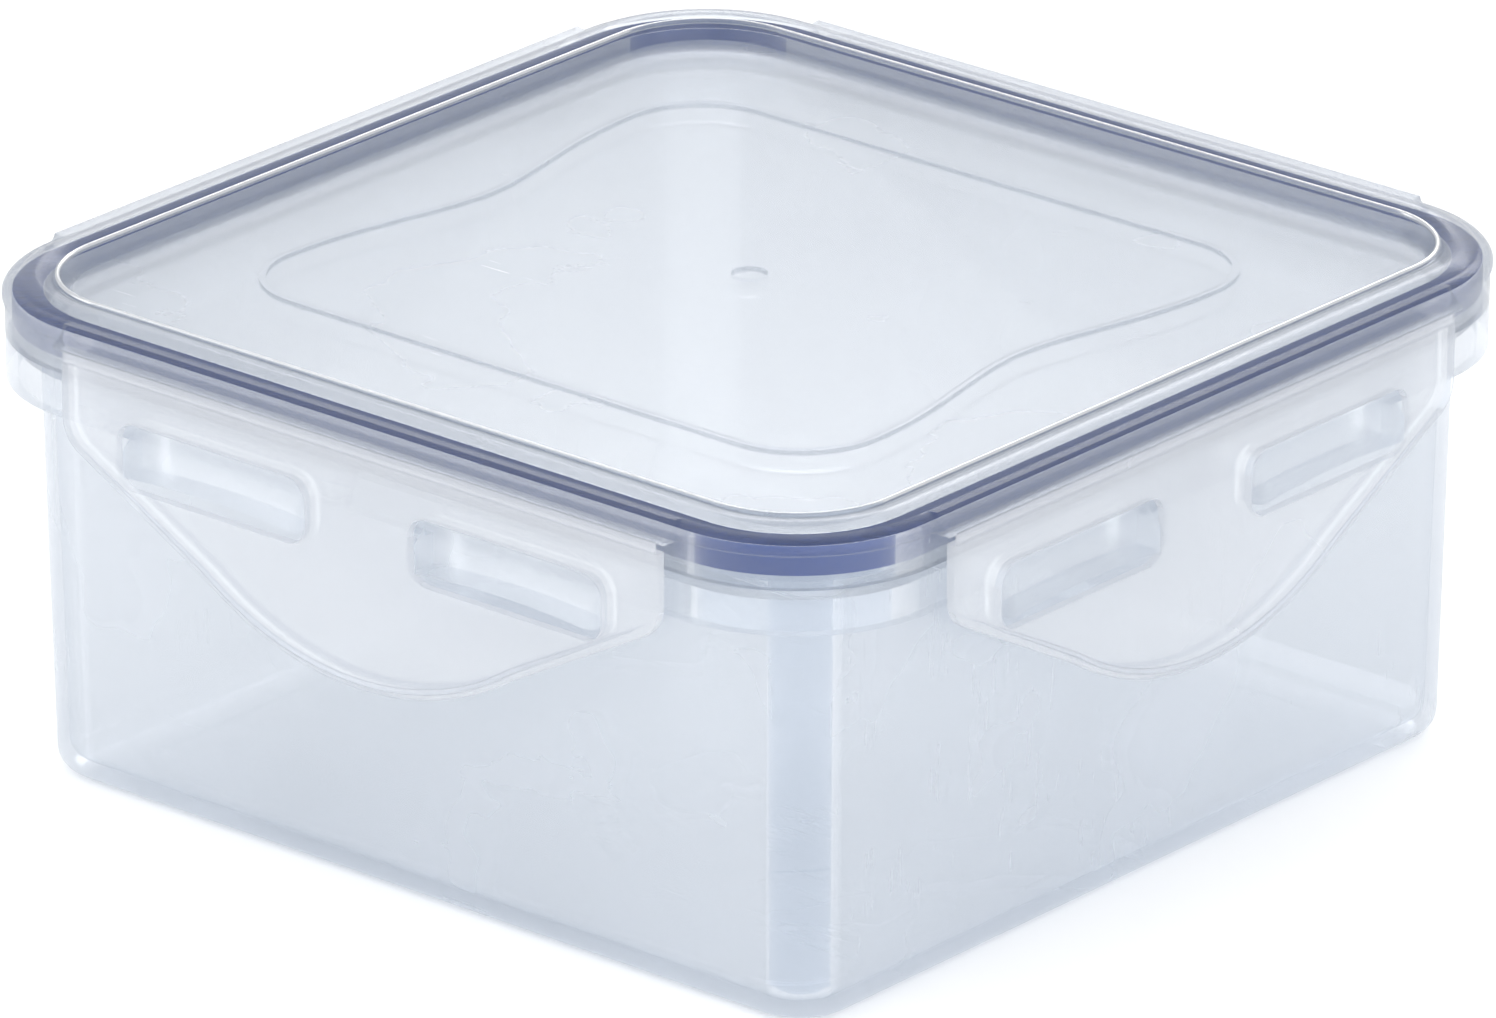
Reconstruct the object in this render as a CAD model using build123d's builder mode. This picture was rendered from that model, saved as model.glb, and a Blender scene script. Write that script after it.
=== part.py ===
from build123d import *

import os

# Square food storage container with a sealed lid that four hinged flaps lock down.
# Lengths are in millimetres and angles in degrees. The origin is the centre of the base, +Z is up,
# and the front flap faces -Y. In the sections below, the first coordinate is the distance from the middle.

# Overall
OVERALL_WIDTH = 155.0  # across the noses of the lugs on opposite sides
TOTAL_HEIGHT = 69.5
LID_CORNER_RADIUS = 22.2
SIDE_TURNS = {"front": 0, "right": 90, "back": 180, "left": 270}
RUNNING_CLEARANCE = 0.35  # between the lid's parts and the tub's rim
PRESS_CLEARANCE = 0.1  # between the seal and its channel

# Tub body
BODY_BEHIND_FLANGE = 7.1  # how far the body stands back from the flange, just below it
BODY_DRAFT = 1.0  # how much nearer the middle each side is at the base
BODY_CORNER_RADIUS = 8.3
BODY_WALL = 1.6
FLOOR = 2.0
BASE_EDGE_RADIUS = 3.5
FLOOR_EDGE_RADIUS = 2.5
FOOT_WIDTH = 9.0
BASE_RECESS = 0.6
SERVING_DISC_RADIUS = 46.0  # faint round step in the floor
SERVING_DISC_STEP = 0.3

# Tub rim: a ledge, the skirt that hangs from it and the wall that stands on it
LEDGE_BELOW_CROWN = 8.1
LEDGE = 1.6
FLANGE_BEHIND_FLAP = 0.8
FLANGE_WALL = 1.6
FLANGE_HEIGHT = 5.8
FLANGE_LOWER_RADIUS = 1.0
FLANGE_UPPER_RADIUS = 0.6
RIM_WALL = 1.5
RIM_EDGE_RADIUS = 0.5

# Locking lugs, two on each side
LUG_TOWARDS_MIDDLE = 0.3  # from the middle of each half of the flap
LUG_LENGTH = 30.0
LUG_NOSE_PROUD = 0.5  # beyond the flap's outer face
LUG_ROOT_BELOW_LEDGE = 4.4
LUG_RIDGE_BELOW_LEDGE = 7.1
LUG_BOTTOM_BELOW_LEDGE = 10.0
LUG_ARCH = 0.8
LUG_END_RADIUS = 1.0

# Lid
SKIRT_BEHIND_FLAP = 0.4
SKIRT_WALL = 1.3
SKIRT_ABOVE_LEDGE = 0.3
SKIRT_STEP = 0.35  # the skirt's upper band stands out this far
SKIRT_STEP_BELOW_CROWN = 3.0
SHOULDER_BELOW_CROWN = 2.4
CROWN_INSET = 4.2  # this and the insets below are measured from the skirt's outer face
OUTER_CREASE_INSET = 1.9
OUTER_CREASE_DEPTH = 0.9
INNER_CREASE_INSET = 6.7
INNER_CREASE_DEPTH = 0.7
LIP_WIDTH = 0.8
LIP_DEPTH = 0.3
PANEL_EDGE_WIDTH = 1.3
PANEL_BELOW_CROWN = 2.6
PANEL = 1.5
CHANNEL_BELOW_CROWN = 2.2
CHANNEL_WIDTH = 4.2
PLUG_WALL = 1.3
PLUG_ABOVE_LEDGE = 0.4

# Raised outline on the lid's panel, with two straight sides and two waisted ones, and the moulding point
FIGURE_END_INSET = 15.9  # from the panel's edge
FIGURE_SIDE_INSET = 19.4
FIGURE_WAIST = 5.0
FIGURE_CORNER_RADIUS = 12.5
FIGURE_LINE = 1.0
FIGURE_HEIGHT = 0.35
MOULDING_POINT_RADIUS = 2.4
MOULDING_POINT_DEPTH = 0.4

# Seal
SEAL_TOP = 1.4
SEAL_LEG = 0.9
SEAL_OUTER_LEG_LENGTH = 2.6
SEAL_INNER_LEG_LENGTH = 2.0

# Hinge strips on the lid, film hinges and flaps
STRIP_BEFORE_CORNER = 1.2  # the strip ends this far before the lid's corner starts
STRIP_SLOPE = 2.0
STRIP_TOP_BELOW_CROWN = 0.7
STRIP_EDGE = 0.6
HINGE_BELOW_CROWN = 3.9
FILM = 0.4
FILM_ABOVE_HINGE = 0.3
FILM_HEIGHT = 1.4
FILM_GAP = 0.06
FILM_END_INSET = 0.4
FLAP = 1.4
FLAP_END_INSET = 1.2  # from the strip's end
FLAP_REACH = 33.0  # from the hinge to the lowest point
FLAP_SHOULDER_REACH = 11.7
FLAP_SHOULDER_RADIUS = 5.0
FLAP_BELLY_HALF_LENGTH = 26.0
FLAP_BELLY_REACH = 25.0
FLAP_BLEND_RADIUS = 25.0
FLAP_EDGE_RADIUS = 0.4
WINDOW_TOP_REACH = 7.0
WINDOW_BOTTOM_REACH = 16.0
WINDOW_END_CLEARANCE = 1.2
WINDOW_CORNER_RADIUS = 3.0

# Heights and distances that follow
LUG_NOSE_HALF = OVERALL_WIDTH / 2
FLAP_OUTER_HALF = LUG_NOSE_HALF - LUG_NOSE_PROUD
FLAP_INNER_HALF = FLAP_OUTER_HALF - FLAP
FLANGE_HALF = FLAP_INNER_HALF - FLANGE_BEHIND_FLAP
BODY_HALF_AT_TOP = FLANGE_HALF - BODY_BEHIND_FLANGE
BODY_HALF_AT_BASE = BODY_HALF_AT_TOP - BODY_DRAFT
SKIRT_HALF = FLAP_INNER_HALF - SKIRT_BEHIND_FLAP
CORNER_CENTRE = SKIRT_HALF - LID_CORNER_RADIUS  # shared by the corners of the lid, the seal and the rim
CROWN_HALF = SKIRT_HALF - CROWN_INSET
OUTER_CREASE_HALF = SKIRT_HALF - OUTER_CREASE_INSET
INNER_CREASE_HALF = SKIRT_HALF - INNER_CREASE_INSET
STRIP_TOP_HALF = FLAP_OUTER_HALF - STRIP_SLOPE
STRIP_HALF_LENGTH = CORNER_CENTRE - STRIP_BEFORE_CORNER
FLAP_HALF_LENGTH = STRIP_HALF_LENGTH - FLAP_END_INSET
FILM_HALF_LENGTH = FLAP_HALF_LENGTH - FILM_END_INSET
LUG_FROM_MIDDLE = FLAP_HALF_LENGTH / 2 - LUG_TOWARDS_MIDDLE
LEDGE_TOP = TOTAL_HEIGHT - LEDGE_BELOW_CROWN
PANEL_TOP = TOTAL_HEIGHT - PANEL_BELOW_CROWN
PANEL_BOTTOM = PANEL_TOP - PANEL
CHANNEL_TOP = TOTAL_HEIGHT - CHANNEL_BELOW_CROWN
SKIRT_BOTTOM = LEDGE_TOP + SKIRT_ABOVE_LEDGE
SKIRT_INNER = SKIRT_HALF - SKIRT_WALL
PLUG_BOTTOM = LEDGE_TOP + PLUG_ABOVE_LEDGE
PLUG_OUTER = SKIRT_INNER - CHANNEL_WIDTH
PLUG_INNER = PLUG_OUTER - PLUG_WALL
LIP_HALF = INNER_CREASE_HALF - LIP_WIDTH
PANEL_HALF = LIP_HALF - PANEL_EDGE_WIDTH
FIGURE_HALF_LENGTH = PANEL_HALF - FIGURE_END_INSET
FIGURE_HALF_WIDTH = PANEL_HALF - FIGURE_SIDE_INSET
SEAL_OUTER = SKIRT_INNER - PRESS_CLEARANCE
SEAL_INNER = PLUG_OUTER + PRESS_CLEARANCE
RIM_TOP = CHANNEL_TOP - SEAL_TOP
RIM_OUTER = SEAL_OUTER - SEAL_LEG - RUNNING_CLEARANCE
RIM_INNER = RIM_OUTER - RIM_WALL
FLANGE_BOTTOM = LEDGE_TOP - FLANGE_HEIGHT
LEDGE_INNER = (BODY_HALF_AT_TOP + CORNER_CENTRE) / 2  # well inside the body's wall
HINGE_Z = TOTAL_HEIGHT - HINGE_BELOW_CROWN
STRIP_BOTTOM = HINGE_Z + FILM_ABOVE_HINGE
STRIP_ROOT_HALF = SKIRT_HALF - SKIRT_WALL / 2
FILM_BOTTOM = STRIP_BOTTOM - FILM_HEIGHT
FLAP_TOP = FILM_BOTTOM - FILM_GAP

# The front side's section plane, through the middle and where the corner starts
SECTION = Plane(origin=(0, 0, 0), x_dir=(0, -1, 0), z_dir=(-1, 0, 0))
CORNER_SECTION = Plane(origin=(CORNER_CENTRE, 0, 0), x_dir=(0, -1, 0), z_dir=(-1, 0, 0))
CORNER_AXIS = Axis((CORNER_CENTRE, -CORNER_CENTRE, 0), (0, 0, 1))


def on_each_side(front):
    """The front's piece on all four sides, joined."""
    with BuildPart() as joined:
        for turn in SIDE_TURNS.values():
            add(front.rotate(Axis.Z, turn))
    return joined.part


def ring_of(section):
    """A closed ring round the container: the section along each side, and turned round each corner."""
    with BuildPart() as quarter:
        with BuildSketch(SECTION):
            add(section)
        extrude(amount=CORNER_CENTRE, both=True)
        with BuildSketch(CORNER_SECTION):
            add(section)
        revolve(axis=CORNER_AXIS, revolution_arc=90)
    return on_each_side(quarter.part)


def rounded_block(half, radius, bottom, top):
    """An upright square block with rounded corners."""
    with BuildPart() as block:
        with BuildSketch(Plane.XY.offset(bottom)):
            RectangleRounded(2 * half, 2 * half, radius)
        extrude(amount=top - bottom)
    return block.part


def tapered_block(inset, bottom, bottom_edge_radius):
    """The tub body's form, or its inside when inset by the wall, from a height up to the ledge's top."""
    radius = BODY_CORNER_RADIUS - inset
    with BuildPart() as block:
        with BuildSketch(Plane.XY.offset(bottom)):
            RectangleRounded(2 * (BODY_HALF_AT_BASE - inset), 2 * (BODY_HALF_AT_BASE - inset), radius)
        with BuildSketch(Plane.XY.offset(LEDGE_TOP)):
            RectangleRounded(2 * (BODY_HALF_AT_TOP - inset), 2 * (BODY_HALF_AT_TOP - inset), radius)
        loft(ruled=True)
        fillet(block.faces().sort_by(Axis.Z)[0].edges(), radius=bottom_edge_radius)
    return block.part


def rim_section():
    """Ledge, hanging skirt and standing wall of the tub's rim."""
    with BuildSketch() as section:
        with BuildLine():
            Polyline(
                (LEDGE_INNER, LEDGE_TOP),
                (RIM_INNER, LEDGE_TOP),
                (RIM_INNER, RIM_TOP),
                (RIM_OUTER, RIM_TOP),
                (RIM_OUTER, LEDGE_TOP),
                (FLANGE_HALF, LEDGE_TOP),
                (FLANGE_HALF, FLANGE_BOTTOM),
                (FLANGE_HALF - FLANGE_WALL, FLANGE_BOTTOM),
                (FLANGE_HALF - FLANGE_WALL, LEDGE_TOP - LEDGE),
                (LEDGE_INNER, LEDGE_TOP - LEDGE),
                close=True,
            )
        make_face()
        rim_edges = section.vertices().group_by(Axis.Y)[-1]
        fillet(rim_edges, radius=RIM_EDGE_RADIUS)
        outermost = section.vertices().group_by(Axis.X)[-1]
        fillet(outermost.sort_by(Axis.Y)[-1], radius=FLANGE_UPPER_RADIUS)
        fillet(outermost.sort_by(Axis.Y)[0], radius=FLANGE_LOWER_RADIUS)
    return section.sketch_local


def lugs():
    """The front's two locking lugs, sloped above, with an arched underside."""
    root = FLANGE_HALF - FLANGE_WALL
    ridge_z = LEDGE_TOP - LUG_RIDGE_BELOW_LEDGE
    bottom_z = LEDGE_TOP - LUG_BOTTOM_BELOW_LEDGE
    with BuildPart() as pair:
        for middle in (-LUG_FROM_MIDDLE, LUG_FROM_MIDDLE):
            with BuildSketch(Plane(origin=(middle, 0, 0), x_dir=(0, -1, 0), z_dir=(-1, 0, 0))):
                with BuildLine():
                    Polyline(
                        (root, LEDGE_TOP - LUG_ROOT_BELOW_LEDGE),
                        (FLANGE_HALF, LEDGE_TOP - LUG_ROOT_BELOW_LEDGE),
                        (LUG_NOSE_HALF, ridge_z),
                        (LUG_NOSE_HALF, bottom_z),
                        (root, bottom_z),
                        close=True,
                    )
                make_face()
            extrude(amount=LUG_LENGTH / 2, both=True)
        nose_ends = pair.edges().filter_by(Axis.Z).group_by(Axis.Y)[0]
        fillet(nose_ends, radius=LUG_END_RADIUS)
        for middle in (-LUG_FROM_MIDDLE, LUG_FROM_MIDDLE):
            with BuildSketch(Plane.XZ.offset(root)):
                with BuildLine():
                    arch_start = (middle - LUG_LENGTH / 2, bottom_z)
                    arch_end = (middle + LUG_LENGTH / 2, bottom_z)
                    ThreePointArc(arch_start, (middle, bottom_z + LUG_ARCH), arch_end)
                    Line(arch_end, arch_start)
                make_face()
            extrude(amount=LUG_NOSE_HALF, mode=Mode.SUBTRACT)
    return pair.part


def lid_section():
    """Lid from its panel outwards: panel edge, lip, crowned ridge, shoulder, skirt, channel and plug."""
    crease_z = TOTAL_HEIGHT - OUTER_CREASE_DEPTH
    inner_crease_z = TOTAL_HEIGHT - INNER_CREASE_DEPTH
    shoulder_z = TOTAL_HEIGHT - SHOULDER_BELOW_CROWN
    step_z = TOTAL_HEIGHT - SKIRT_STEP_BELOW_CROWN
    inner_end = LEDGE_INNER
    with BuildSketch() as section:
        with BuildLine():
            Line((inner_end, PANEL_TOP), (PANEL_HALF, PANEL_TOP))
            Line((PANEL_HALF, PANEL_TOP), (LIP_HALF, TOTAL_HEIGHT - LIP_DEPTH))
            Line((LIP_HALF, TOTAL_HEIGHT - LIP_DEPTH), (INNER_CREASE_HALF, inner_crease_z))
            crown = (CROWN_HALF, TOTAL_HEIGHT)
            ThreePointArc((INNER_CREASE_HALF, inner_crease_z), crown, (OUTER_CREASE_HALF, crease_z))
            shoulder_bulge = ((OUTER_CREASE_HALF + 2 * SKIRT_HALF) / 3, (2 * crease_z + shoulder_z) / 3)
            ThreePointArc((OUTER_CREASE_HALF, crease_z), shoulder_bulge, (SKIRT_HALF, shoulder_z))
            Polyline(
                (SKIRT_HALF, shoulder_z),
                (SKIRT_HALF, step_z),
                (SKIRT_HALF - SKIRT_STEP, step_z - SKIRT_STEP),
                (SKIRT_HALF - SKIRT_STEP, SKIRT_BOTTOM),
                (SKIRT_INNER, SKIRT_BOTTOM),
                (SKIRT_INNER, CHANNEL_TOP),
                (PLUG_OUTER, CHANNEL_TOP),
                (PLUG_OUTER, PLUG_BOTTOM),
                (PLUG_INNER, PLUG_BOTTOM),
                (PLUG_INNER, PANEL_BOTTOM),
                (inner_end, PANEL_BOTTOM),
                (inner_end, PANEL_TOP),
            )
        make_face()
    return section.sketch_local


def seal_section():
    """Upside-down U that holds the tub's rim between its legs."""
    inner_leg_end = CHANNEL_TOP - SEAL_TOP - SEAL_INNER_LEG_LENGTH
    outer_leg_end = CHANNEL_TOP - SEAL_TOP - SEAL_OUTER_LEG_LENGTH
    with BuildSketch() as section:
        with BuildLine():
            Polyline(
                (SEAL_INNER, CHANNEL_TOP),
                (SEAL_OUTER, CHANNEL_TOP),
                (SEAL_OUTER, outer_leg_end),
                (SEAL_OUTER - SEAL_LEG, outer_leg_end),
                (SEAL_OUTER - SEAL_LEG, RIM_TOP),
                (SEAL_INNER + SEAL_LEG, RIM_TOP),
                (SEAL_INNER + SEAL_LEG, inner_leg_end),
                (SEAL_INNER, inner_leg_end),
                close=True,
            )
        make_face()
    return section.sketch_local


def hinge_strip():
    """The front's strip on the lid's shoulder, hollowed on its slope, that carries the film hinge."""
    top_z = TOTAL_HEIGHT - STRIP_TOP_BELOW_CROWN
    edge_z = STRIP_BOTTOM + STRIP_EDGE
    hollow = ((STRIP_TOP_HALF + FLAP_OUTER_HALF) / 2 - 0.25, (top_z + edge_z) / 2 - 0.25)
    with BuildPart() as strip:
        with BuildSketch(SECTION):
            with BuildLine():
                ThreePointArc((STRIP_TOP_HALF, top_z), hollow, (FLAP_OUTER_HALF, edge_z))
                Polyline(
                    (FLAP_OUTER_HALF, edge_z),
                    (FLAP_OUTER_HALF, STRIP_BOTTOM),
                    (STRIP_ROOT_HALF, STRIP_BOTTOM),
                    (STRIP_ROOT_HALF, CHANNEL_TOP),
                    (OUTER_CREASE_HALF, TOTAL_HEIGHT - OUTER_CREASE_DEPTH),
                    (STRIP_TOP_HALF, top_z),
                )
            make_face()
        extrude(amount=STRIP_HALF_LENGTH, both=True)
    return strip.part


def figure(inset):
    """The figure on the lid's panel, smaller all round by the inset."""
    corner_radius = FIGURE_CORNER_RADIUS - inset
    line_end = FIGURE_HALF_LENGTH - FIGURE_CORNER_RADIUS
    side_end = FIGURE_HALF_WIDTH - FIGURE_CORNER_RADIUS
    waist = FIGURE_HALF_LENGTH - FIGURE_WAIST - inset
    with BuildSketch() as outline:
        with BuildLine():
            for way in (-1, 1):
                line_y = way * (FIGURE_HALF_WIDTH - inset)
                Line((-line_end, line_y), (line_end, line_y))
                side_x = way * (FIGURE_HALF_LENGTH - inset)
                Spline((side_x, -side_end), (way * waist, 0), (side_x, side_end), tangents=((0, 1), (0, 1)))
                CenterArc((line_end, way * side_end), corner_radius, min(0, way * 90), 90)
                CenterArc((-line_end, way * side_end), corner_radius, 180 - max(0, way * 90), 90)
        make_face()
    return outline.sketch_local


def raised_outline():
    """The thin raised line on the lid's panel, rooted inside the panel."""
    with BuildPart() as line:
        with BuildSketch(Plane.XY.offset(PANEL_TOP - PANEL / 2)):
            add(figure(0))
            add(figure(FIGURE_LINE), mode=Mode.SUBTRACT)
        extrude(amount=PANEL / 2 + FIGURE_HEIGHT)
    return line.part


# Tub: body, floor with a recessed foot, rim and lugs
with BuildPart() as tub:
    add(tapered_block(0, 0, BASE_EDGE_RADIUS))
    add(ring_of(rim_section()))
    add(on_each_side(lugs()))
    add(tapered_block(BODY_WALL, FLOOR, FLOOR_EDGE_RADIUS), mode=Mode.SUBTRACT)
    add(rounded_block(BODY_HALF_AT_BASE - FOOT_WIDTH, BODY_CORNER_RADIUS, 0, BASE_RECESS), mode=Mode.SUBTRACT)
    with BuildSketch(Plane.XY.offset(FLOOR)):
        Circle(SERVING_DISC_RADIUS)
    extrude(amount=-SERVING_DISC_STEP, mode=Mode.SUBTRACT)

# Lid: panel, rim ring and the four hinge strips, with the raised outline and the moulding point
with BuildPart() as lid:
    add(ring_of(lid_section()))
    add(rounded_block(PANEL_HALF - 1, PANEL_HALF - 1 - CORNER_CENTRE, PANEL_BOTTOM, PANEL_TOP))
    add(on_each_side(hinge_strip()))
    add(raised_outline())
    with BuildSketch(Plane.XY.offset(PANEL_TOP)):
        Circle(MOULDING_POINT_RADIUS)
    extrude(amount=-MOULDING_POINT_DEPTH, mode=Mode.SUBTRACT)

# Seal in the lid's channel
with BuildPart() as lid_seal:
    add(ring_of(seal_section()))

# Film hinge of the front: a thin strip below the lid's hinge strip, flush with its face
with BuildPart() as living_hinge:
    with BuildSketch(SECTION):
        with Locations((FLAP_OUTER_HALF - FILM / 2, (STRIP_BOTTOM + FILM_BOTTOM) / 2)):
            Rectangle(FILM, FILM_HEIGHT)
    extrude(amount=FILM_HALF_LENGTH, both=True)

# Flap of the front: a wing-shaped plate with a window for each lug
FLAP_FACE = Plane(origin=(0, -FLAP_OUTER_HALF, HINGE_Z), x_dir=(1, 0, 0), z_dir=(0, -1, 0))
with BuildPart() as flap:
    with BuildSketch(FLAP_FACE) as flap_outline:
        with BuildLine():
            Polyline(
                (-FLAP_BELLY_HALF_LENGTH, -FLAP_BELLY_REACH),
                (-FLAP_HALF_LENGTH, -FLAP_SHOULDER_REACH),
                (-FLAP_HALF_LENGTH, FLAP_TOP - HINGE_Z),
                (FLAP_HALF_LENGTH, FLAP_TOP - HINGE_Z),
                (FLAP_HALF_LENGTH, -FLAP_SHOULDER_REACH),
                (FLAP_BELLY_HALF_LENGTH, -FLAP_BELLY_REACH),
            )
            ThreePointArc(
                (FLAP_BELLY_HALF_LENGTH, -FLAP_BELLY_REACH),
                (0, -FLAP_REACH),
                (-FLAP_BELLY_HALF_LENGTH, -FLAP_BELLY_REACH),
            )
        make_face()
        fillet(flap_outline.vertices().group_by(Axis.Y)[1], radius=FLAP_SHOULDER_RADIUS)
        fillet(flap_outline.vertices().group_by(Axis.Y)[0], radius=FLAP_BLEND_RADIUS)
    extrude(amount=-FLAP)
    with BuildSketch(FLAP_FACE):
        window_y = -(WINDOW_TOP_REACH + WINDOW_BOTTOM_REACH) / 2
        with Locations((-LUG_FROM_MIDDLE, window_y), (LUG_FROM_MIDDLE, window_y)):
            RectangleRounded(
                LUG_LENGTH + 2 * WINDOW_END_CLEARANCE,
                WINDOW_BOTTOM_REACH - WINDOW_TOP_REACH,
                WINDOW_CORNER_RADIUS,
            )
    extrude(amount=-FLAP, mode=Mode.SUBTRACT)
    fillet(flap.faces().sort_by(Axis.Y)[0].edges(), radius=FLAP_EDGE_RADIUS)

# Write one file for each piece
os.makedirs("parts", exist_ok=True)
pieces = {"tub": tub.part, "lid": lid.part, "lid_seal": lid_seal.part}
for side, turn in SIDE_TURNS.items():
    pieces["living_hinge_" + side] = living_hinge.part.rotate(Axis.Z, turn)
    pieces["flap_" + side] = flap.part.rotate(Axis.Z, turn)
for name, piece in pieces.items():
    piece.label = name
    export_step(piece, "parts/" + name + ".step")
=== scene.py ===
"""Studio look of a square food storage container: translucent tub, milky clip-lock lid and blue seal.

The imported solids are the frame. This script gives them their plastics, adds the fine mouldings that the
solids leave out, and sets the light and the camera. All lengths are in metres unless a name says otherwise.
"""

import logging
import math
from dataclasses import dataclass, field
from enum import Enum

import bpy
import numpy as np
from mathutils import Matrix, Vector


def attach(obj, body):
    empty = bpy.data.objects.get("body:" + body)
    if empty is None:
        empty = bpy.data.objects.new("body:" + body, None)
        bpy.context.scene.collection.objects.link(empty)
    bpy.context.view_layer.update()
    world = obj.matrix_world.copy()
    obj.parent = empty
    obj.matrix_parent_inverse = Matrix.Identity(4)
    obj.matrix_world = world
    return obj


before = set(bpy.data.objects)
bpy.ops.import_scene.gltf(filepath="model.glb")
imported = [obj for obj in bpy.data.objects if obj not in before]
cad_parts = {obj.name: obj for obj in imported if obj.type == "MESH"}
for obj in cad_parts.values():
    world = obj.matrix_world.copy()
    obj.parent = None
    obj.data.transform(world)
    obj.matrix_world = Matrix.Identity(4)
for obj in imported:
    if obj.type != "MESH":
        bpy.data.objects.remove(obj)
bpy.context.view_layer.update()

LOG = logging.getLogger("container")
CORNER_CENTRE = 0.053  # where the corners of the rings are centred, along X and along Y
# Colour of the painted pale blue glow that the plastics emit, standing in for light scattered inside their
# walls.
PAINTED_GLOW_COLOUR = (0.75, 0.85, 1.0, 1.0)
PLASTIC_IOR = 1.49
GLOSS_SHARE = 0.6  # share of the Fresnel reflection that the plastics show
CLOUD_SPREAD = 0.12  # how far the cloud texture moves a plastic's roughness
OPACITY_SPREAD = 0.01  # how far it moves the opacity, up and down
AIM = (0.0, 0.0, 0.04)  # where the softboxes point
FLOOR_DROP = 0.0001  # the floor lies this far below the base


class Side(Enum):
    """The container's four sides, each with its turn about the upright axis in degrees."""

    FRONT = 0
    RIGHT = 90
    BACK = 180
    LEFT = 270

    @property
    def word(self) -> str:
        """The side's name as the solids spell it."""
        return self.name.lower()

    def turn(self, points: np.ndarray) -> np.ndarray:
        """Turns points of the front side to this side.

        Args:
            points: Array of shape (n, 3).

        Returns:
            The turned array, of the same shape.
        """
        angle = math.radians(self.value)
        cos, sin = math.cos(angle), math.sin(angle)
        x, y, z = points.T
        return np.stack([x * cos - y * sin, x * sin + y * cos, z], axis=1)


def mesh_from_grid(name: str, points: np.ndarray, close_rows: bool, close_columns: bool) -> bpy.types.Object:
    """Makes a quad mesh of a grid of points, joined up where a direction is closed.

    Args:
        name: The object's name.
        points: Array of shape (rows, columns, 3).
        close_rows: Whether the last row joins the first.
        close_columns: Whether the last column joins the first.

    Returns:
        The new object, at the origin and linked to the scene.
    """
    rows, columns, _ = points.shape
    index = np.arange(rows * columns).reshape(rows, columns)
    row_ids = np.arange(rows if close_rows else rows - 1)
    column_ids = np.arange(columns if close_columns else columns - 1)
    r, c = np.meshgrid(row_ids, column_ids, indexing="ij")
    r_next, c_next = (r + 1) % rows, (c + 1) % columns
    corners = [index[r, c], index[r, c_next], index[r_next, c_next], index[r_next, c]]
    quads = np.stack(corners, axis=-1).reshape(-1, 4)
    mesh = bpy.data.meshes.new(name)
    mesh.vertices.add(rows * columns)
    mesh.vertices.foreach_set("co", points.reshape(-1))
    mesh.loops.add(quads.size)
    mesh.loops.foreach_set("vertex_index", quads.reshape(-1))
    mesh.polygons.add(len(quads))
    mesh.polygons.foreach_set("loop_start", np.arange(0, quads.size, 4))
    mesh.polygons.foreach_set("use_smooth", np.ones(len(quads), dtype=bool))
    mesh.update(calc_edges=True)
    mesh.validate()
    obj = bpy.data.objects.new(name, mesh)
    bpy.context.scene.collection.objects.link(obj)
    return obj


class NodeBench:
    """Adds and joins shader nodes in one tree."""

    def __init__(self, tree: bpy.types.NodeTree) -> None:
        """Starts with the tree's nodes cleared.

        Args:
            tree: The material's or group's node tree.
        """
        self.tree = tree
        tree.nodes.clear()

    def add(self, kind: str, inputs: dict | None = None, **settings: object) -> bpy.types.Node:
        """Adds a node.

        Args:
            kind: The node's type name.
            inputs: Values or sockets for its inputs, by name or number.
            settings: Attributes of the node.

        Returns:
            The new node.
        """
        node = self.tree.nodes.new(kind)
        for key, value in settings.items():
            setattr(node, key, value)
        for key, value in (inputs or {}).items():
            if isinstance(value, bpy.types.NodeSocket):
                self.tree.links.new(value, node.inputs[key])
            else:
                node.inputs[key].default_value = value
        return node


def new_group(
    name: str, sockets: list[tuple[str, str, str, float | None]]
) -> tuple[bpy.types.NodeTree, NodeBench]:
    """Makes an empty shader node group.

    Args:
        name: The group's name.
        sockets: (name, INPUT or OUTPUT, socket type, default value) for each socket.

    Returns:
        The group and its bench.
    """
    group = bpy.data.node_groups.new(name, "ShaderNodeTree")
    for label, way, kind, default in sockets:
        socket = group.interface.new_socket(name=label, in_out=way, socket_type=kind)
        if default is not None:
            socket.default_value = default
    return group, NodeBench(group)


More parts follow.
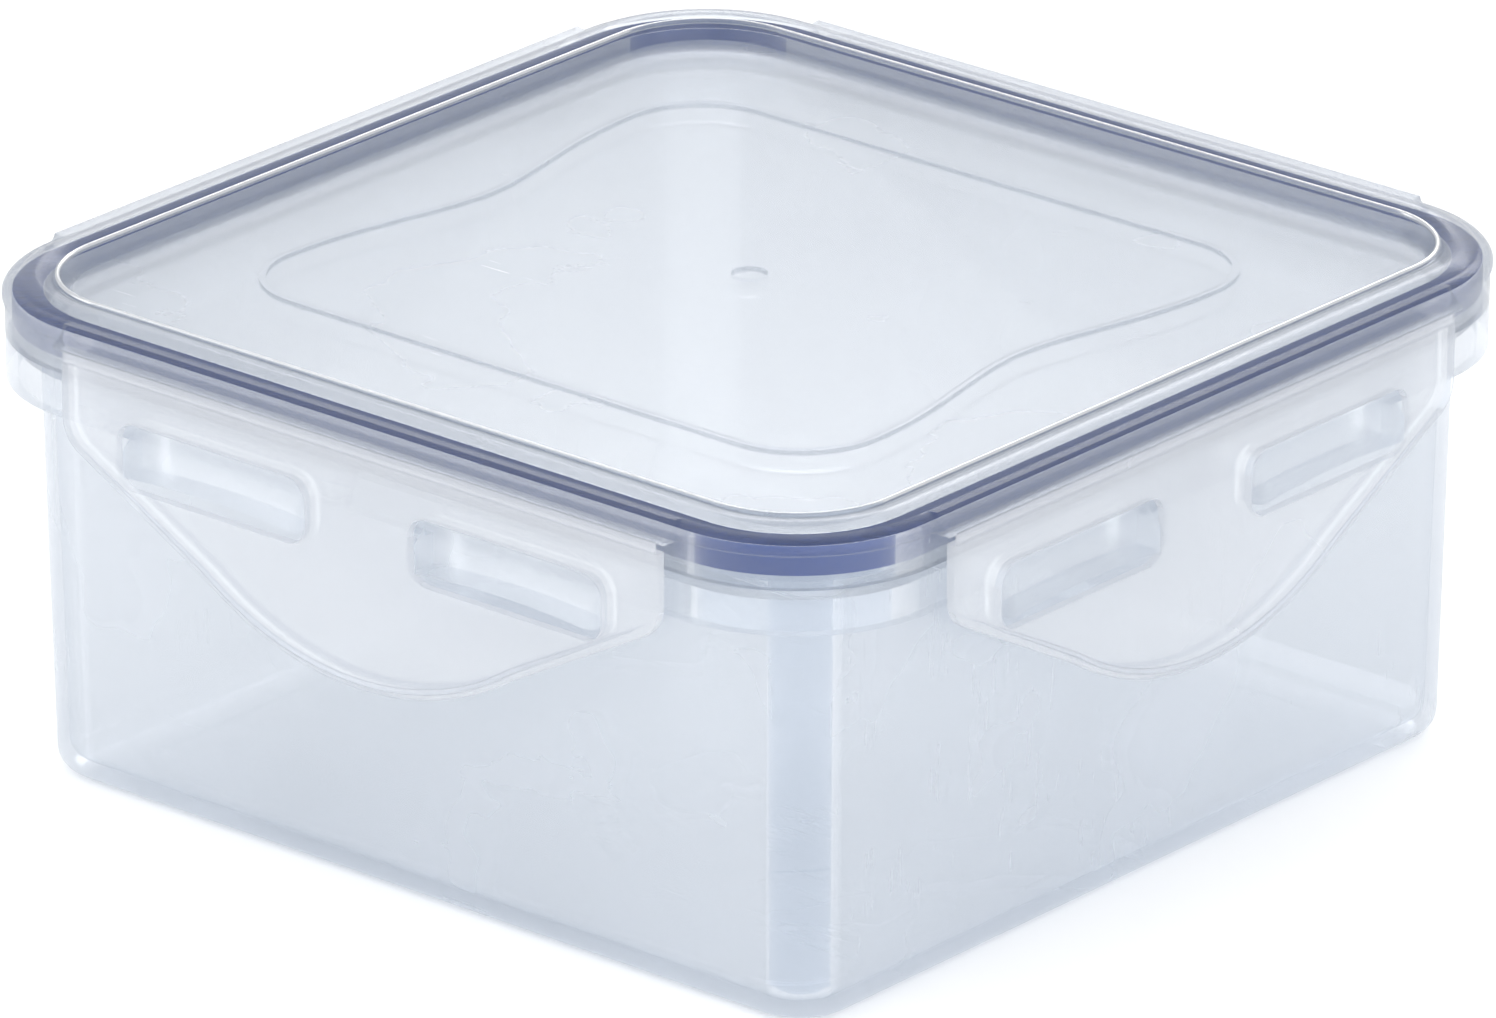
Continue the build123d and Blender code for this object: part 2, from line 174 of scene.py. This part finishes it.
def moulded_surface_group() -> bpy.types.NodeTree:
    """Builds the wear and moulding texture that all the plastics share.

    Returns:
        A group that takes a roughness and its spread and puts out Roughness, Height and Cloud.
    """
    group, bench = new_group(
        "moulded surface",
        [
            ("Roughness", "INPUT", "NodeSocketFloat", 0.3),
            ("Spread", "INPUT", "NodeSocketFloat", 0.08),
            ("Roughness", "OUTPUT", "NodeSocketFloat", None),
            ("Height", "OUTPUT", "NodeSocketFloat", None),
            ("Cloud", "OUTPUT", "NodeSocketFloat", None),
        ],
    )
    given = bench.add("NodeGroupInput")
    place = bench.add("ShaderNodeTexCoord").outputs["Object"]
    cloud = bench.add("ShaderNodeTexNoise", {"Vector": place, "Scale": 28.0, "Detail": 3.0}).outputs["Fac"]
    grain = bench.add("ShaderNodeTexNoise", {"Vector": place, "Scale": 900.0, "Detail": 2.0}).outputs["Fac"]
    stretched = bench.add(
        "ShaderNodeMapping", {"Vector": place, "Scale": (60.0, 1400.0, 160.0), "Rotation": (0.3, 0.5, 0.7)}
    ).outputs[0]
    hairline = bench.add("ShaderNodeTexNoise", {"Vector": stretched, "Scale": 1.0, "Detail": 4.0})
    scratch = bench.add(
        "ShaderNodeMapRange", {"Value": hairline.outputs["Fac"], "From Min": 0.62, "From Max": 0.8}
    ).outputs[0]
    centred = bench.add("ShaderNodeMath", {0: cloud, 1: 0.5}, operation="SUBTRACT").outputs[0]
    spread = bench.add(
        "ShaderNodeMath", {0: centred, 1: given.outputs["Spread"]}, operation="MULTIPLY"
    ).outputs[0]
    worn = bench.add("ShaderNodeMath", {0: scratch, 1: 0.03, 2: spread}, operation="MULTIPLY_ADD").outputs[0]
    rough = bench.add("ShaderNodeMath", {0: given.outputs["Roughness"], 1: worn}, operation="ADD").outputs[0]
    dents = bench.add("ShaderNodeMath", {0: scratch, 1: -0.15, 2: grain}, operation="MULTIPLY_ADD").outputs[0]
    bench.add("NodeGroupOutput", {"Roughness": rough, "Height": dents, "Cloud": cloud})
    return group


def ring_distance_group() -> bpy.types.NodeTree:
    """Builds the distance that the container's rings keep from its middle.

    With c the place of the corner centres, the distance is c + hypot(max(|x| - c, 0), max(|y| - c, 0)). It is
    the distance from the middle along a side, and it stays the same round each corner.

    Returns:
        A group that puts out Distance.
    """
    group, bench = new_group("ring distance", [("Distance", "OUTPUT", "NodeSocketFloat", None)])
    place = bench.add("ShaderNodeTexCoord").outputs["Object"]
    folded = bench.add("ShaderNodeVectorMath", {0: place}, operation="ABSOLUTE").outputs[0]
    centre = (CORNER_CENTRE, CORNER_CENTRE, 1.0)
    beyond = bench.add("ShaderNodeVectorMath", {0: folded, 1: centre}, operation="SUBTRACT").outputs[0]
    kept = bench.add("ShaderNodeVectorMath", {0: beyond, 1: (0.0, 0.0, 0.0)}, operation="MAXIMUM").outputs[0]
    reach = bench.add("ShaderNodeVectorMath", {0: kept}, operation="LENGTH").outputs["Value"]
    distance = bench.add("ShaderNodeMath", {0: reach, 1: CORNER_CENTRE}, operation="ADD").outputs[0]
    bench.add("NodeGroupOutput", {"Distance": distance})
    return group


@dataclass(frozen=True)
class Zone:
    """A ring round the container where a plastic is more or less milky than elsewhere.

    Attributes:
        start: Ring distance where the zone starts.
        end: Ring distance where it ends.
        opacity: Opacity of one wall surface in the zone, seen square on.
        blend: Width over which it fades in and out.
    """

    start: float
    end: float
    opacity: float
    blend: float = 0.0005

    def mixed(
        self, bench: NodeBench, distance: bpy.types.NodeSocket, opacity: bpy.types.NodeSocket | float
    ) -> bpy.types.NodeSocket:
        """Adds the nodes that put this zone over what lies below it.

        Args:
            bench: The material's bench.
            distance: The ring distance.
            opacity: The opacity outside the zone.

        Returns:
            The socket that carries the opacity with the zone put in.
        """
        entered, left = (
            bench.add(
                "ShaderNodeMapRange", {"Value": distance, "From Min": edge, "From Max": edge + self.blend}
            ).outputs[0]
            for edge in (self.start, self.end)
        )
        inside = bench.add("ShaderNodeMath", {0: entered, 1: left}, operation="SUBTRACT").outputs[0]
        return bench.add(
            "ShaderNodeMapRange", {"Value": inside, "To Min": opacity, "To Max": self.opacity}
        ).outputs[0]


@dataclass(frozen=True)
class TranslucentPlastic:
    """Natural polypropylene: milky, denser where it is seen edge-on, faintly blue where light passes, and lit
    up by a painted pale blue glow.

    Attributes:
        name: The material's name.
        colour: Linear colour of the milky part.
        tint: Linear colour of the light that one wall surface lets through.
        roughness: Roughness of the surface.
        facing_opacity: Opacity of one wall surface seen square on.
        edge_opacity: Opacity of one wall surface seen edge-on.
        glow: Share of the milky light that comes from behind.
        painted_glow: Strength of the pale blue that the plastic scatters of its own accord.
        zones: Rings where the opacity differs, the later ones on top.
    """

    name: str
    colour: tuple[float, float, float]
    tint: tuple[float, float, float]
    # painted_glow: Strength of a painted pale blue glow that the plastic emits, standing in for light
    # scattered inside the wall.
    roughness: float
    facing_opacity: float
    edge_opacity: float
    glow: float
    painted_glow: float = 0.0
    zones: tuple[Zone, ...] = ()

    def square_on_opacity(self, bench: NodeBench, ring: bpy.types.NodeTree) -> bpy.types.NodeSocket | float:
        """Adds the nodes for the opacity seen square on.

        Args:
            bench: The material's bench.
            ring: The shared ring distance group.

        Returns:
            The socket that carries it, or the plain value where the plastic is even.
        """
        if not self.zones:
            return self.facing_opacity
        distance = bench.add("ShaderNodeGroup", node_tree=ring).outputs[0]
        opacity: bpy.types.NodeSocket | float = self.facing_opacity
        for zone in self.zones:
            opacity = zone.mixed(bench, distance, opacity)
        return opacity

    def build(self, surface: bpy.types.NodeTree, ring: bpy.types.NodeTree) -> bpy.types.Material:
        """Builds the material.

        Args:
            surface: The shared moulded surface group.
            ring: The shared ring distance group.

        Returns:
            The new material.
        """
        material = bpy.data.materials.new(self.name)
        material.use_nodes = True
        bench = NodeBench(material.node_tree)
        texture = bench.add("ShaderNodeGroup", node_tree=surface)
        texture.inputs["Roughness"].default_value = self.roughness
        texture.inputs["Spread"].default_value = CLOUD_SPREAD
        bump = bench.add(
            "ShaderNodeBump", {"Height": texture.outputs["Height"], "Strength": 0.02, "Distance": 0.0001}
        )
        facing = bench.add("ShaderNodeLayerWeight", {"Blend": 0.3}).outputs["Facing"]
        cloudy = bench.add(
            "ShaderNodeMapRange",
            {
                "Value": texture.outputs["Cloud"],
                "From Min": 0.3,
                "From Max": 0.7,
                "To Min": -OPACITY_SPREAD,
                "To Max": OPACITY_SPREAD,
            },
        ).outputs[0]
        opacity = bench.add(
            "ShaderNodeMapRange",
            {"Value": facing, "To Min": self.square_on_opacity(bench, ring), "To Max": self.edge_opacity},
        ).outputs[0]
        alpha = bench.add(
            "ShaderNodeMath", {0: opacity, 1: cloudy}, operation="ADD", use_clamp=True
        ).outputs[0]
        body = bench.add(
            "ShaderNodeBsdfPrincipled",
            {
                "Base Color": (*self.colour, 1.0),
                "Roughness": texture.outputs["Roughness"],
                "IOR": PLASTIC_IOR,
                "Normal": bump.outputs[0],
                # Painted glow: a faint pale blue emission that brightens the milky part, in place of light
                # scattered inside the wall.
                "Emission Color": PAINTED_GLOW_COLOUR,
                "Emission Strength": self.painted_glow,
            },
        )
        scatter = bench.add(
            "ShaderNodeBsdfTranslucent", {"Color": (*self.colour, 1.0), "Normal": bump.outputs[0]}
        )
        milky = bench.add("ShaderNodeMixShader", {0: self.glow, 1: body.outputs[0], 2: scatter.outputs[0]})
        see_through = bench.add("ShaderNodeBsdfTransparent", {"Color": (*self.tint, 1.0)})
        wall = bench.add("ShaderNodeMixShader", {0: alpha, 1: see_through.outputs[0], 2: milky.outputs[0]})
        gloss = bench.add(
            "ShaderNodeBsdfGlossy", {"Roughness": texture.outputs["Roughness"], "Normal": bump.outputs[0]}
        )
        sheen = bench.add("ShaderNodeFresnel", {"IOR": PLASTIC_IOR, "Normal": bump.outputs[0]}).outputs[0]
        shine = bench.add("ShaderNodeMath", {0: sheen, 1: GLOSS_SHARE}, operation="MULTIPLY").outputs[0]
        coated = bench.add("ShaderNodeMixShader", {0: shine, 1: wall.outputs[0], 2: gloss.outputs[0]})
        bench.add("ShaderNodeOutputMaterial", {"Surface": coated.outputs[0]})
        return material


@dataclass(frozen=True)
class Silicone:
    """Soft coloured silicone with a dull sheen.

    Attributes:
        name: The material's name.
        colour: Linear base colour.
        roughness: Roughness of the surface.
    """

    name: str
    colour: tuple[float, float, float]
    roughness: float

    def build(self, surface: bpy.types.NodeTree) -> bpy.types.Material:
        """Builds the material.

        Args:
            surface: The shared moulded surface group.

        Returns:
            The new material.
        """
        material = bpy.data.materials.new(self.name)
        material.use_nodes = True
        bench = NodeBench(material.node_tree)
        texture = bench.add("ShaderNodeGroup", node_tree=surface)
        texture.inputs["Roughness"].default_value = self.roughness
        bump = bench.add(
            "ShaderNodeBump", {"Height": texture.outputs["Height"], "Strength": 0.1, "Distance": 0.0002}
        )
        body = bench.add(
            "ShaderNodeBsdfPrincipled",
            {
                "Base Color": (*self.colour, 1.0),
                "Roughness": texture.outputs["Roughness"],
                "Normal": bump.outputs[0],
                "Subsurface Weight": 0.15,
                "Subsurface Scale": 0.001,
            },
        )
        bench.add("ShaderNodeOutputMaterial", {"Surface": body.outputs[0]})
        return material


@dataclass
class Palette:
    """The object's finishes, built once and shared.

    Attributes:
        tub: Finish of the tub.
        lid: Finish of the lid and its lip.
        flap: Finish of the flaps and their film hinges.
        seal: Finish of the seal.
    """

    tub: bpy.types.Material
    lid: bpy.types.Material
    flap: bpy.types.Material
    seal: bpy.types.Material

    @classmethod
    def build(cls) -> "Palette":
        """Builds every finish.

        Returns:
            The palette.
        """
        surface = moulded_surface_group()
        ring = ring_distance_group()
        return cls(
            tub=TranslucentPlastic(
                name="tub plastic",
                colour=(0.92, 0.95, 1.0),
                tint=(0.974, 0.986, 1.0),
                roughness=0.26,
                facing_opacity=0.09,
                edge_opacity=0.4,
                glow=0.6,
                painted_glow=0.75,
                zones=(Zone(0.0749, 0.09, 0.1),),
            ).build(surface, ring),
            lid=TranslucentPlastic(
                name="lid plastic",
                colour=(0.5, 0.53, 0.57),
                tint=(0.958, 0.976, 1.0),
                roughness=0.24,
                facing_opacity=0.34,
                edge_opacity=0.55,
                glow=0.55,
                painted_glow=0.25,
                zones=(Zone(0.066, 0.09, 0.04), Zone(0.066, 0.0738, 0.13), Zone(0.07, 0.0724, 0.26)),
            ).build(surface, ring),
            flap=TranslucentPlastic(
                name="flap plastic",
                colour=(0.93, 0.95, 0.99),
                tint=(0.978, 0.988, 1.0),
                roughness=0.22,
                facing_opacity=0.2,
                edge_opacity=0.45,
                glow=0.5,
                painted_glow=0.2,
            ).build(surface, ring),
            seal=Silicone("blue silicone", (0.014, 0.058, 0.27), 0.55).build(surface),
        )


def dress(node: str, material: bpy.types.Material) -> None:
    """Gives a CAD node its finish.

    Args:
        node: The node's name.
        material: The finish.
    """
    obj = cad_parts[node]
    obj.data.materials.clear()
    obj.data.materials.append(material)


@dataclass(frozen=True)
class LidLipBead:
    """The thin raised lip that runs round the lid's panel, just inside the ridge.

    A round section of radius r is swept round a square whose corners are arcs about (c, c). With a the angle
    round the section, the distance from the sides is d = half + r cos a and the height is z = top + r sin a.
    Along a side the point is (s, -d); in a corner it is (c, -c) + (d - c)(sin b, -cos b), for b from 0 to 90
    degrees, and each further side is the same turned by 90 degrees.

    Attributes:
        half: Distance of the bead's middle from the container's middle.
        corner_centre: Where the corner arcs are centred, along X and along Y.
        height: Height of the bead's middle.
        radius: Radius of the section.
        corner_steps: Stations in each corner.
        section_steps: Points round the section.
    """

    half: float = 0.06795
    corner_centre: float = 0.053
    height: float = 0.06905
    radius: float = 0.0004
    corner_steps: int = 24
    section_steps: int = 12

    def points(self) -> np.ndarray:
        """Works out the bead's grid of points.

        Returns:
            Array of shape (stations, section points, 3).
        """
        turn = np.linspace(0.0, math.pi / 2, self.corner_steps + 1)
        around = np.linspace(0.0, 2 * math.pi, self.section_steps, endpoint=False)
        distance = self.half + self.radius * np.cos(around)
        height = self.height + self.radius * np.sin(around)
        reach = distance - self.corner_centre
        x = self.corner_centre + np.sin(turn)[:, None] * reach[None, :]
        y = -self.corner_centre - np.cos(turn)[:, None] * reach[None, :]
        corner = np.stack([x, y, np.broadcast_to(height, x.shape)], axis=-1)
        shape = corner.shape
        return np.concatenate([side.turn(corner.reshape(-1, 3)).reshape(shape) for side in Side])

    def build(self, material: bpy.types.Material) -> bpy.types.Object:
        """Makes the bead and lets it ride on the lid.

        Args:
            material: The lid's finish.

        Returns:
            The bead.
        """
        bead = mesh_from_grid("lid_lip_bead", self.points(), True, True)
        bead.data.materials.append(material)
        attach(bead, "lid")
        return bead


@dataclass(frozen=True)
class FlapEdgeBead:
    """The raised line that follows a flap's lower edge, on its outer face.

    Its path lies a little inside the flap's outline: a circular belly between x = -belly and x = belly, and a
    straight slope from there to each shoulder. The section is an ellipse whose size falls to nothing at both
    ends as the square root of the sine of the share of the way along.

    Attributes:
        outer_half: Distance of the flap's outer face from the middle.
        hinge_height: Height from which the reaches are measured.
        belly: Half length of the rounded middle part.
        belly_reach: Reach where the belly starts.
        reach: Reach at the middle.
        end: Half length of the bead.
        end_reach: Reach at the bead's ends.
        width: Half width of the section along the face.
        proud: How far the section stands out.
        stations: Points along the bead.
        section_steps: Points round the section.
    """

    outer_half: float = 0.0770
    hinge_height: float = 0.0656
    belly: float = 0.026
    belly_reach: float = 0.0236
    reach: float = 0.0318
    end: float = 0.0470
    end_reach: float = 0.0122
    width: float = 0.00045
    proud: float = 0.0003
    stations: int = 120
    section_steps: int = 10

    def path(self) -> tuple[np.ndarray, np.ndarray]:
        """Works out the bead's middle line on the flap's face.

        Returns:
            The x values and the reaches below the hinge.
        """
        x = np.linspace(-self.end, self.end, self.stations)
        sagitta = self.reach - self.belly_reach
        radius = (self.belly**2 + sagitta**2) / (2 * sagitta)
        round_part = self.reach - radius + np.sqrt(np.maximum(radius**2 - x**2, 0.0))
        share = (np.abs(x) - self.belly) / (self.end - self.belly)
        slope = self.belly_reach + (self.end_reach - self.belly_reach) * share
        return x, np.where(np.abs(x) <= self.belly, round_part, slope)

    def points(self) -> np.ndarray:
        """Works out the front bead's grid of points.

        Returns:
            Array of shape (stations, section points, 3).
        """
        x, reach = self.path()
        z = self.hinge_height - reach
        along_x, along_z = np.gradient(x), np.gradient(z)
        length = np.hypot(along_x, along_z)
        side_x, side_z = -along_z / length, along_x / length
        size = np.sqrt(np.sin(np.pi * np.linspace(0.0, 1.0, self.stations))).clip(0.001, 1.0)
        around = np.linspace(0.0, 2 * math.pi, self.section_steps, endpoint=False)
        across = self.width * size[:, None] * np.cos(around)[None, :]
        out = self.proud * size[:, None] * np.sin(around)[None, :]
        shifted_x = x[:, None] + side_x[:, None] * across
        shifted_z = z[:, None] + side_z[:, None] * across
        return np.stack([shifted_x, -self.outer_half - out, shifted_z], axis=-1)

    def build(self, side: Side, material: bpy.types.Material) -> bpy.types.Object:
        """Makes one side's bead and lets it ride on that flap.

        Args:
            side: The side it belongs to.
            material: The flap's finish.

        Returns:
            The bead.
        """
        points = self.points()
        turned = side.turn(points.reshape(-1, 3)).reshape(points.shape)
        bead = mesh_from_grid("flap_edge_bead_" + side.word, turned, False, True)
        bead.data.materials.append(material)
        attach(bead, "flap_body_" + side.word)
        return bead


@dataclass
class Tub:
    """The tub, with its rim and lugs.

    Attributes:
        material: The tub's finish.
    """

    material: bpy.types.Material

    def build(self) -> None:
        """Dresses the tub's solid."""
        dress("tub", self.material)


@dataclass
class Lid:
    """The lid with its seal, film hinges and flaps.

    Attributes:
        palette: The object's finishes.
        lip: The bead round the panel.
        flap_edge: The bead along each flap's lower edge.
    """

    palette: Palette
    lip: LidLipBead = field(default_factory=LidLipBead)
    flap_edge: FlapEdgeBead = field(default_factory=FlapEdgeBead)

    def build(self) -> None:
        """Dresses the lid's solids and adds its fine mouldings."""
        dress("lid", self.palette.lid)
        dress("lid_seal", self.palette.seal)
        self.lip.build(self.palette.lid)
        for side in Side:
            dress("living_hinge_" + side.word, self.palette.flap)
            dress("flap_" + side.word, self.palette.flap)
            self.flap_edge.build(side, self.palette.flap)


@dataclass(frozen=True)
class StudioCamera:
    """Long-lens camera that looks down on the container's front corner.

    Attributes:
        azimuth: Degrees round from straight in front.
        elevation: Degrees above the horizon.
        roll: Degrees of roll.
        distance: From the target.
        lens_mm: Focal length for a 36 mm wide sensor.
        target: The point in the middle of the picture.
    """

    azimuth: float = 40.51
    elevation: float = 21.94
    roll: float = 0.034
    distance: float = 1.91992
    lens_mm: float = 353.2
    target: tuple[float, float, float] = (-0.000157, -0.000096, 0.033781)

    def build(self) -> bpy.types.Object:
        """Makes the camera and sets it as the scene's.

        Returns:
            The camera object.
        """
        azimuth, elevation = math.radians(self.azimuth), math.radians(self.elevation)
        level = math.cos(elevation)
        back = Vector((math.sin(azimuth) * level, -math.cos(azimuth) * level, math.sin(elevation)))
        right = Vector((math.cos(azimuth), math.sin(azimuth), 0.0))
        up = back.cross(right)
        data = bpy.data.cameras.new("studio camera")
        data.lens = self.lens_mm
        data.sensor_width = 36.0
        data.clip_start = 0.05
        data.clip_end = 20.0
        camera = bpy.data.objects.new("studio camera", data)
        axes = Matrix((right, up, back)).transposed().to_4x4()
        place = Matrix.Translation(Vector(self.target) + back * self.distance)
        camera.matrix_world = place @ axes @ Matrix.Rotation(math.radians(self.roll), 4, "Z")
        bpy.context.scene.collection.objects.link(camera)
        bpy.context.scene.camera = camera
        return camera


@dataclass(frozen=True)
class Softbox:
    """One rectangular area light aimed at the container.

    Attributes:
        name: The light's name.
        position: Where it stands.
        size: Width and height.
        power: Watts.
    """

    name: str
    position: tuple[float, float, float]
    size: tuple[float, float]
    power: float

    def build(self) -> None:
        """Makes the light."""
        data = bpy.data.lights.new(self.name, "AREA")
        data.shape = "RECTANGLE"
        data.size, data.size_y = self.size
        data.energy = self.power
        light = bpy.data.objects.new(self.name, data)
        place = Vector(self.position)
        aim = (Vector(AIM) - place).to_track_quat("-Z", "Y")
        light.matrix_world = Matrix.Translation(place) @ aim.to_matrix().to_4x4()
        bpy.context.scene.collection.objects.link(light)


@dataclass
class Studio:
    """White floor, world light and softboxes.

    Attributes:
        floor_half: Half the floor's width.
        lights: The softboxes.
    """

    floor_half: float = 3.0
    lights: list[Softbox] = field(
        default_factory=lambda: [
            Softbox("key", (-0.6, -0.9, 0.6), (1.6, 1.6), 8.0),
            Softbox("right fill", (1.1, -0.4, 0.5), (1.5, 1.5), 10.0),
            Softbox("back strip", (-0.5, 1.2, 0.8), (1.2, 0.25), 5.0),
        ]
    )

    def build(self) -> None:
        """Makes the floor, the world and the lights."""
        grid = np.array([-self.floor_half, self.floor_half])
        x, y = np.meshgrid(grid, grid, indexing="xy")
        floor = mesh_from_grid("floor", np.stack([x, y, np.full_like(x, -FLOOR_DROP)], axis=-1), False, False)
        material = bpy.data.materials.new("floor")
        material.use_nodes = True
        bench = NodeBench(material.node_tree)
        paper = bench.add("ShaderNodeBsdfDiffuse", {"Color": (0.95, 0.95, 0.95, 1.0)})
        bench.add("ShaderNodeOutputMaterial", {"Surface": paper.outputs[0]})
        floor.data.materials.append(material)
        world = bpy.data.worlds.new("white room")
        world.use_nodes = True
        bench = NodeBench(world.node_tree)
        light_path = bench.add("ShaderNodeLightPath")
        glow = bench.add("ShaderNodeBackground", {"Color": (1.0, 1.0, 1.0, 1.0), "Strength": 0.95})
        seen = bench.add("ShaderNodeBackground", {"Color": (1.0, 1.0, 1.0, 1.0), "Strength": 1.0})
        to_camera = light_path.outputs["Is Camera Ray"]
        mixed = bench.add("ShaderNodeMixShader", {0: to_camera, 1: glow.outputs[0], 2: seen.outputs[0]})
        bench.add("ShaderNodeOutputWorld", {"Surface": mixed.outputs[0]})
        bpy.context.scene.world = world
        for light in self.lights:
            light.build()


def main() -> None:
    """Builds the dressed container, the studio and the camera."""
    logging.basicConfig(level=logging.INFO)
    bpy.context.scene.view_settings.view_transform = "Standard"
    palette = Palette.build()
    Tub(palette.tub).build()
    Lid(palette).build()
    Studio().build()
    StudioCamera().build()


if __name__ == "__main__":
    main()
